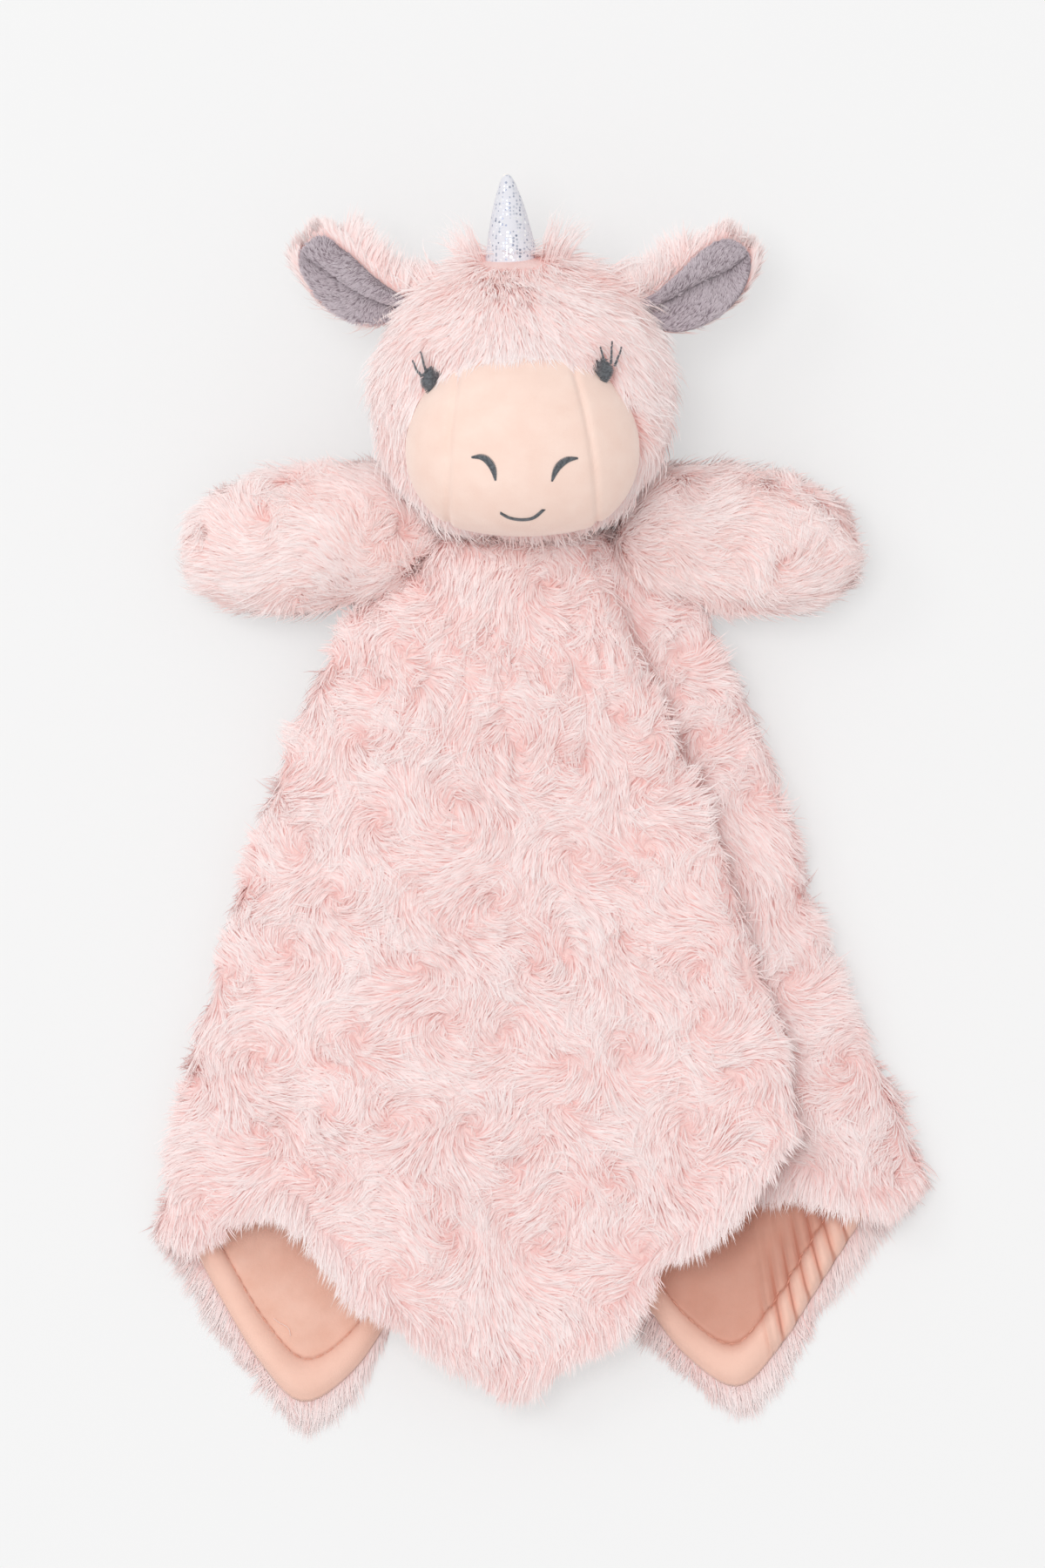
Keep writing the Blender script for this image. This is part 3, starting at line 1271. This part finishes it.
def ring_through(stations, count):
    """Even steps round a closed ring, on a smooth curve through its stations."""
    points = np.array(stations, dtype=float)
    before, after, second = np.roll(points, 1, 0), np.roll(points, -1, 0), np.roll(points, -2, 0)
    for row in (before, after, second):
        jump = row[:, 3] - points[:, 3]
        row[:, 3] -= 2 * np.round(jump / 2)
    fine = []
    for t in np.linspace(0, 1, 12, endpoint=False):
        curve = (
            2 * points
            + (after - before) * t
            + (2 * before - 5 * points + 4 * after - second) * t**2
            + (3 * points - before - 3 * after + second) * t**3
        ) / 2
        fine.append(curve)
    fine = np.stack(fine, axis=1).reshape(-1, points.shape[1])
    closed = np.vstack([fine, fine[:1] + (0, 0, 0, 2, 0)])
    flat = closed[:, :3] * (PIXEL, PIXEL, MM)
    spans = np.linalg.norm(np.diff(flat, axis=0), axis=1)
    run = np.concatenate([[0], np.cumsum(spans)])
    steps = np.linspace(0, run[-1], count, endpoint=False)
    even = [np.interp(steps, run, closed[:, i]) for i in range(points.shape[1])]
    return np.stack(even, axis=1), run[-1]


HEM, HEM_RUN = ring_through(FRONT_HEM + BACK_HEM, COLUMNS)
print("hem", round(HEM_RUN * 1000), "mm round")

# %% Blanket's mesh


def cloth_place(station, way):
    """A place on the cloth: a station of the hem, and the share of the way down to it."""
    px, py, level, turn, side = station
    end = spot(px, py, level * MM)
    angle = math.pi * (1 - turn)
    start = NECK + Vector((math.cos(angle) * NECK_HALF_WIDTH, 0, math.sin(angle) * NECK_HALF_DEPTH))
    if way < 0:
        lean = -way / CAP_SHARE * math.pi / 2
        ring = Vector((math.cos(angle), 0, math.sin(angle))) * NECK_CAP_RADIUS
        start.y += SHOULDER_RISE * math.cos(angle) ** 2
        closed = NECK + NECK_CAP + ring
        flat = closed.lerp(start, math.cos(lean))
        flat.y = start.y + (closed.y - start.y) * math.sin(lean)
        return flat
    table = np.array(SPREADS)
    spreads = [np.interp(way, table[:, 0], table[:, i]) for i in (1, 2, 3)]
    spread = np.interp(side, (0, 1, 2), spreads)
    front = turn < 1
    settle = way**0.8 if front else min(1, way / 0.25)
    shoulder = SHOULDER_RISE * math.cos(angle) ** 2 * (1 - way) ** 30
    gather = GATHER_RISE * math.sin(GATHERS * angle) * (1 - way) ** 3 * min(1, way * 12)
    if front:
        crest = sum(rise * math.exp(-(((turn - at) / wide) ** 2)) for at, wide, rise in CRESTS)
        gather += crest * MM * min(1, way / CREST_START)
    return Vector((
        start.x + (end.x - start.x) * spread,
        start.y + (end.y - start.y) * way + shoulder,
        start.z + (end.z - start.z) * settle + gather,
    ))


def row_way(row):
    """A row's share of the way down: the rows by the hem lie close together."""
    if row >= ROWS - EDGE_ROWS:
        return 1 - EDGE_SHARE * (ROWS - row) / EDGE_ROWS
    return (1 - EDGE_SHARE + CAP_SHARE) * row / (ROWS - EDGE_ROWS) - CAP_SHARE


def from_hem(station, way):
    """The distance up the cloth from the hem."""
    return (cloth_place(station, 1) - cloth_place(station, 0.9)).length * (1 - way) * 10


def blanket_grid(name):
    """A grid bent into the gathered ring, then closed along its side."""
    grid = bmesh.new()
    up_cloth = grid.verts.layers.float.new("up_cloth")
    round_hem = grid.verts.layers.float.new("round_hem")
    bmesh.ops.create_grid(grid, x_segments=COLUMNS, y_segments=ROWS, size=0.5)
    for vert in grid.verts:
        column = round((vert.co.x + 0.5) * COLUMNS) % COLUMNS
        way = row_way(round((vert.co.y + 0.5) * ROWS))
        vert.co = cloth_place(HEM[column], way)
        vert[up_cloth] = from_hem(HEM[column], way)
        vert[round_hem] = column
    bmesh.ops.remove_doubles(grid, verts=grid.verts, dist=0.00002)
    bmesh.ops.recalc_face_normals(grid, faces=grid.faces)
    return mesh_of(grid, name)


blanket_skin = blanket_grid("blanket_fur_cloth")
top = max(blanket_skin.polygons, key=lambda p: p.center.z)
if top.normal.z < 0:
    blanket_skin.flip_normals()
print("fur cloth", len(blanket_skin.polygons), "faces")

# %% [markdown]
# ## Blanket lining
#
# The lining is turned in at the hem and topstitched, which leaves a round puffed band. On the
# right corner the stitching has drawn up, so the cloth puckers there. The lining is the fur
# cloth again, moved inwards by a depth that depends on the distance up from the hem.

# %% Lining's shape
BAND_WIDTH = 12 * MM
BAND_CROWN = 2.2 * MM
STITCH_PRESS = 1.3 * MM
EDGE_ROUND = 2.5 * MM
PUCKER_PITCH = 6.8 * MM
PUCKER_RISE = 2.0 * MM
PUCKERED = (1.02, 1.17)  # turns round the neck between which the stitching has drawn up
PUCKER_FADE = 12 * MM
WRINKLE_RISE = 0.8 * MM
LINING_GAP = 1.1 * MM
FUR_CLOTH_THICKNESS = 0.8 * MM
LINING_THICKNESS = 0.6 * MM


def band_rise(up_cloth, column):
    """How far the lining stands off the fur cloth."""
    middle = (up_cloth - BAND_WIDTH / 2) / (BAND_WIDTH / 2)
    rise = BAND_CROWN * max(0, 1 - middle**2)
    rise -= STITCH_PRESS * math.exp(-(((up_cloth - BAND_WIDTH) / (0.9 * MM)) ** 2))
    turn = HEM[round(column)][3] % 2
    run = column * HEM_RUN / COLUMNS
    if PUCKERED[0] < turn < PUCKERED[1]:
        fade = math.exp(-max(0, up_cloth - BAND_WIDTH) / PUCKER_FADE)
        rise += PUCKER_RISE * (0.3 + math.sin(run / PUCKER_PITCH * math.tau)) * fade
    short = math.sin(run / (7 * MM) + up_cloth / (5 * MM))
    rise += WRINKLE_RISE * short * math.sin(run / (23 * MM) - up_cloth / (11 * MM))
    return max(rise, -0.4 * MM) * min(1, up_cloth / EDGE_ROUND)


puckered = [
    number for number, station in enumerate(HEM) if PUCKERED[0] < station[3] % 2 < PUCKERED[1]
]


def finer(mesh):
    """A copy with twice the columns where the puckers are, because they are narrow."""
    grid = bmesh.new()
    grid.from_mesh(mesh)
    column = grid.verts.layers.float["round_hem"]
    steps = [abs(edge.verts[0][column] - edge.verts[1][column]) for edge in grid.edges]
    crossing = [
        edge for edge, step in zip(grid.edges, steps)
        if 0.5 < step < 1.5 and puckered[0] - 6 < edge.verts[0][column] < puckered[-1] + 6
    ]
    bmesh.ops.subdivide_edges(grid, edges=crossing, cuts=1, use_grid_fill=True)
    return mesh_of(grid, "fine_cloth")


def offset(mesh, name, depth):
    """The lining: a copy of the fur cloth, moved inwards along its normals."""
    made = mesh.copy()
    made.name = name
    ups, columns = (mesh.attributes[key].data for key in ("up_cloth", "round_hem"))
    for number, (vert, source) in enumerate(zip(made.vertices, mesh.vertices)):
        up_cloth = ups[number].value
        rise = band_rise(up_cloth, columns[number].value)
        vert.co = source.co - source.normal * (depth * min(1, 0.3 + up_cloth / EDGE_ROUND) + rise)
    return made


def thicken(piece, thickness):
    """Give a cloth its thickness on the inner side."""
    wall = piece.modifiers.new("Cloth", "SOLIDIFY")
    wall.thickness = thickness
    wall.offset = -1


cloth = show("blanket_fur_cloth", blanket_skin.copy(), "blanket", BACKING)
thicken(cloth, FUR_CLOTH_THICKNESS)
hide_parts("blanket_fur_panel")
print("puckers from column", puckered[0], "to", puckered[-1])

# %% Lining's colour
PEACH_VELOUR = velour_material("Peach velour lining", "#EAB8A4", "#F3C6B4", 1800.0)
velour_tree = PEACH_VELOUR.node_tree
velour_shader = velour_tree.nodes["Principled BSDF"]
flat_colour = velour_shader.inputs["Base Color"].links[0].from_socket
height, column = (
    add_node(velour_tree, "ShaderNodeAttribute", {"attribute_name": name}).outputs["Fac"]
    for name in ("up_cloth", "round_hem")
)
lining_place = add_node(velour_tree, "ShaderNodeTexCoord").outputs["Object"]
across_toy = add_node(velour_tree, "ShaderNodeSeparateXYZ", Vector=lining_place).outputs["X"]


def eased(value, start, end, amount=1.0):
    """An amount that grows from nothing at the start to all of it at the end."""
    return ranged(velour_tree, value, start, end, 0.0, amount)


def times(*values):
    """The product of some values."""
    product = values[0]
    for value in values[1:]:
        product = combined(velour_tree, "MULTIPLY", product, value)
    return product


# The turned-in band is brushed paler than the flat middle
paler = eased(height, BAND_WIDTH * 1.05, BAND_WIDTH * 0.85, 0.6)
band_colour = mixed(velour_tree, paler, flat_colour, linear("#FAD0BF"))
# The nap lies away from the light in the creases between the puckers, on the right corner, far
# up under the folds and in the valley that the stitches pull
wave = combined(velour_tree, "SINE", times(column, HEM_RUN / COLUMNS / PUCKER_PITCH * math.tau))
crease = times(
    eased(wave, -0.2, -1.0, 0.75),
    eased(column, puckered[0] - 2, puckered[0] + 2),
    eased(column, puckered[-1] + 2, puckered[-1] - 2),
    eased(height, BAND_WIDTH + 16 * MM, BAND_WIDTH - 2 * MM),
)
turned = times(
    eased(across_toy, 15 * MM, 35 * MM, 0.55), eased(height, BAND_WIDTH * 0.7, BAND_WIDTH * 1.2)
)
from_stitch = combined(velour_tree, "SUBTRACT", height, BAND_WIDTH)
from_stitch = combined(velour_tree, "ABSOLUTE", from_stitch)
shadow = eased(height, 30 * MM, 60 * MM, 0.5)
for other in (turned, crease, eased(from_stitch, 1.3 * MM, 0.3 * MM, 0.4)):
    shadow = combined(velour_tree, "ADD", shadow, other)
shadow = combined(velour_tree, "MINIMUM", shadow, 0.9)
feed(velour_shader, Base_Color=mixed(velour_tree, shadow, band_colour, linear("#C4836F")))
lining_mesh = offset(finer(blanket_skin), "blanket_lining_cloth", LINING_GAP)
lining = show("blanket_lining_cloth", lining_mesh, "blanket", PEACH_VELOUR)
print("lining", len(lining_mesh.polygons), "faces")
thicken(lining, LINING_THICKNESS)
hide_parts("blanket_lining")
area = sum(p.area for p in blanket_skin.polygons)
print("blanket cloth", round(area, 4), "m2 of", round(0.355**2, 4))

# %% [markdown]
# ## Blanket fur
#
# The rosettes are whorls about 27 mm apart. The fur is full where the sky can see it, thin
# underneath and nearly left out inside the folds, where it would only cost triangles.

# %% Blanket fur
LOOK_REACH = 60 * MM  # cloth nearer than this over a root or under it counts as a fold
HEM_REACH = 14 * MM  # from here to the hem the comb turns straight down the cloth
CLOTH_TREE = tree_of(blanket_skin)
HEM_TREE = KDTree(COLUMNS)
for number, station in enumerate(HEM):
    HEM_TREE.insert(cloth_place(station, 1), number)
HEM_TREE.balance()
HEM_WAYS = unit(np.array([cloth_place(s, 1) - cloth_place(s, 0.9) for s in HEM]))


def at_hem(roots):
    """Each root's distance from the hem, and the way down the cloth there."""
    found = [HEM_TREE.find(root) for root in roots]
    return np.array([hit[2] for hit in found]), HEM_WAYS[[hit[1] for hit in found]]


def blanket_keep(roots, normals, rng):
    """Full fur where the sky can see it, thin fur underneath and hardly any inside the folds."""
    far, _ = at_hem(roots)
    share = np.where((normals[:, 2] < -0.3) & (far > 10 * MM), 0.3, 1.0)
    for number, (root, normal) in enumerate(zip(roots, normals)):
        start = Vector(root + normal * MM)
        if normal[2] > -0.3 and CLOTH_TREE.ray_cast(start, UP, LOOK_REACH)[0] is not None:
            share[number] = 0.12
        elif normal[2] <= -0.3 and CLOTH_TREE.ray_cast(start, -UP, LOOK_REACH)[0] is not None:
            share[number] = 0.05
    return rng.random(len(roots)) < share


def blanket_lead(roots, normals):
    """Down and out from the neck, and straight over the hem beside it."""
    lead = np.zeros_like(roots)
    lead[:, 0] = (roots[:, 0] - NECK.x) * 3.0
    lead[:, 1] = -0.35
    far, ways = at_hem(roots)
    near = np.clip(1 - far / HEM_REACH, 0, 1)[:, None]
    return lead * (1 - near) + ways * near * 2.5


blanket_fur = fur(
    "blanket_fur", "blanket", blanket_skin, FUR, 235000, 9.5 * MM, 0.28, 27 * MM, blanket_lead, 31,
    keep=blanket_keep,
)

# %% [markdown]
# ## Fur at the hem
#
# The pile of the last few millimetres hangs over the hem and hides the seam. It grows on a
# narrow strip that is cut from the fur cloth, and every hair is combed straight out.

# %% Fur at the hem
FRINGE_WIDTH = 2.5 * MM
fringe = bmesh.new()
fringe.from_mesh(blanket_skin)
layer = fringe.verts.layers.float["up_cloth"]
inner_faces = [f for f in fringe.faces if min(v[layer] for v in f.verts) > FRINGE_WIDTH]
bmesh.ops.delete(fringe, geom=inner_faces, context="FACES")
fringe_skin = mesh_of(fringe, "hem_edge")


def fringe_keep(roots, normals, rng):
    """No fringe on the hem inside the folds."""
    share = np.ones(len(roots))
    for number, root in enumerate(roots):
        sides = [CLOTH_TREE.ray_cast(Vector(root) + way * MM, way, LOOK_REACH) for way in (UP, -UP)]
        if all(hit[0] for hit in sides):
            share[number] = 0.1
    return rng.random(len(roots)) < share


def fringe_lead(roots, normals):
    """Straight out over the hem."""
    return at_hem(roots)[1] * 4


blanket_fur += fur(
    "hem_fur", "blanket", fringe_skin, FUR, 22000, 12.5 * MM, 0.3, 40 * MM, fringe_lead, 33,
    keep=fringe_keep, tuft=0.4,
)

# %% [markdown]
# ## Topstitching
#
# A row of stitches runs round the lining, 12 mm inside the hem, and holds the turned-in band.
# Each stitch is a short thread that lies in the valley which it has pulled.

# %% Topstitching
TOPSTITCH = 2.6 * MM
TOPSTITCH_GAP = 0.9 * MM
TOPSTITCH_THICKNESS = 0.5 * MM
PEACH_THREAD, peach_tree, peach_shader = material("Peach sewing thread", Roughness=0.55)
peach = ramp(peach_tree, noise(peach_tree, 1600.0, 2.0), ((0.3, "#D99A84"), (0.7, "#EBB39D")))
feed(peach_shader, Base_Color=peach)

lining_tree = tree_of(lining.data)
line = []
for station in HEM:
    way = 1 - BAND_WIDTH / from_hem(station, 0)
    line.append(lining_tree.find_nearest(cloth_place(station, way))[:2])
places = np.array([place for place, _ in line + line[:1]])
run = np.concatenate([[0], np.cumsum(np.linalg.norm(np.diff(places, axis=0), axis=1))])
bed = bmesh.new()
for start in np.arange(0, run[-1], TOPSTITCH + TOPSTITCH_GAP):
    a, b = (
        Vector([np.interp(start + step, run, places[:, i]) for i in range(3)])
        for step in (0, TOPSTITCH)
    )
    middle, inward, _, _ = lining_tree.find_nearest((a + b) / 2)
    along = (b - a).normalized()
    face = -(inward - along * inward.dot(along)).normalized()
    seat = middle + face * (LINING_THICKNESS + TOPSTITCH_THICKNESS * 0.3)
    size = (TOPSTITCH_THICKNESS, TOPSTITCH_THICKNESS * 0.8, TOPSTITCH)
    oval(bed, seat, (face.cross(along), face, along), size)
topstitch_mesh = mesh_of(bed, "hem_topstitches")
topstitches = show("hem_topstitches", topstitch_mesh, "blanket", PEACH_THREAD)
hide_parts("hem_topstitch")
print("topstitches", len(topstitch_mesh.polygons), "faces")

# A loose end of thread lies on the left corner's lining
LOOSE_END_PX = ((312, 1519), (318, 1524), (325, 1527), (330, 1531), (331, 1539))
LOOSE_THICKNESS = 0.3 * MM
loose = [
    lining_tree.ray_cast(spot(px, py, 30 * MM), -UP)[0]
    for px, py in even_line(LOOSE_END_PX, 0.5 * MM)
]
loose = [place + UP * MM for place in loose if place]
bed = bmesh.new()
for a, b in zip(loose, loose[1:]):
    size = (LOOSE_THICKNESS, LOOSE_THICKNESS, (b - a).length * 1.6)
    oval(bed, (a + b) / 2, facing(b - a, UP).transposed(), size)
PALE_THREAD = material("Pale sewing thread", Roughness=0.5, Base_Color=linear("#F4D9CF"))[0]
loose_thread = show("loose_thread_end", mesh_of(bed, "loose_thread_end"), "blanket", PALE_THREAD)

# %% [markdown]
# ## Stuffing and gathering thread
#
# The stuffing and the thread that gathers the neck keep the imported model's shapes. They are
# seen only where a pose opens a gap, as white fibre and a twisted thread.

# %% Stuffing and gathering thread
FIBRE = velour_material("Polyester fibre filling", "#EFE9E2", "#FBF8F4", 900.0)
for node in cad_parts:
    if node.endswith("_filling") or node == "neck_gathering_thread":
        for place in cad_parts[node].material_slots:
            place.material = FIBRE if node.endswith("_filling") else PEACH_THREAD
